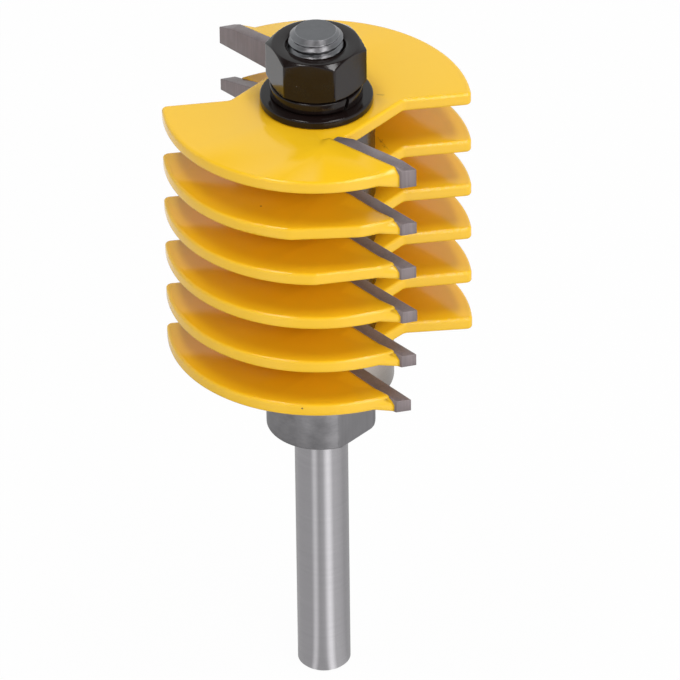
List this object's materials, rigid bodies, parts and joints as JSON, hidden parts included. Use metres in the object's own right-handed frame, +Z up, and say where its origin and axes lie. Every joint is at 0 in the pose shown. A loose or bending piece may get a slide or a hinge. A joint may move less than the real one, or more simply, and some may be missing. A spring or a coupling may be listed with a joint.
{
  "type": "finger joint router bit",
  "caption": "Stack of two-wing cutters with carbide tips on a shank with a guide bearing, spacers and a clamp nut, for cutting finger joints.",
  "frame": {"origin": "centre of the shank's lower end, on the axis", "axes": "+Z up the axis from the shank's end to the nut, -Y towards the front, where the tip of each cutter's tip_a bar points to +X and -Y"},
  "size_m": [0.0452, 0.0452, 0.1118],
  "materials": {
    "yellow_paint": "glossy enamel over milled steel",
    "carbide": "ground tungsten carbide",
    "ground_steel": "finely ground",
    "turned_steel": "turned",
    "bearing_steel": "polished",
    "black_oxide": "glossy black oxide"
  },
  "bodies": {
    "arbor": {"arbor": "ground_steel", "bearing_inner_ring": "bearing_steel", "bearing_shim": "bearing_steel", "cutter_1_body": "yellow_paint", "cutter_1_tip_a": "carbide", "cutter_1_tip_b": "carbide", "cutter_2_body": "yellow_paint", "cutter_2_tip_a": "carbide", "cutter_2_tip_b": "carbide", "cutter_3_body": "yellow_paint", "cutter_3_tip_a": "carbide", "cutter_3_tip_b": "carbide", "cutter_4_body": "yellow_paint", "cutter_4_tip_a": "carbide", "cutter_4_tip_b": "carbide", "cutter_5_body": "yellow_paint", "cutter_5_tip_a": "carbide", "cutter_5_tip_b": "carbide", "cutter_6_body": "yellow_paint", "cutter_6_tip_a": "carbide", "cutter_6_tip_b": "carbide", "spacer_1": "turned_steel", "spacer_2": "turned_steel", "spacer_3": "turned_steel", "spacer_4": "turned_steel", "spacer_5": "turned_steel", "flat_washer": "black_oxide", "lock_washer": "black_oxide", "hex_nut": "black_oxide"},
    "bearing_outer": {"bearing_outer_ring": "bearing_steel", "bearing_shield_lower": "bearing_steel", "bearing_shield_upper": "bearing_steel"},
    "bearing_cage": {"bearing_cage": "bearing_steel", "bearing_balls": "bearing_steel"}
  },
  "joints": [
    {"name": "outer_ring_spin", "type": "hinge", "parent": "arbor", "child": "bearing_outer", "pos_m": [0, 0, 0.0555], "axis": [0, 0, 1], "continuous": true},
    {"name": "cage_spin", "type": "hinge", "parent": "arbor", "child": "bearing_cage", "pos_m": [0, 0, 0.0555], "axis": [0, 0, 1], "continuous": true}
  ],
  "couplings": [
    {"joint": "cage_spin", "follows": "outer_ring_spin", "ratio": 0.6277}
  ]
}
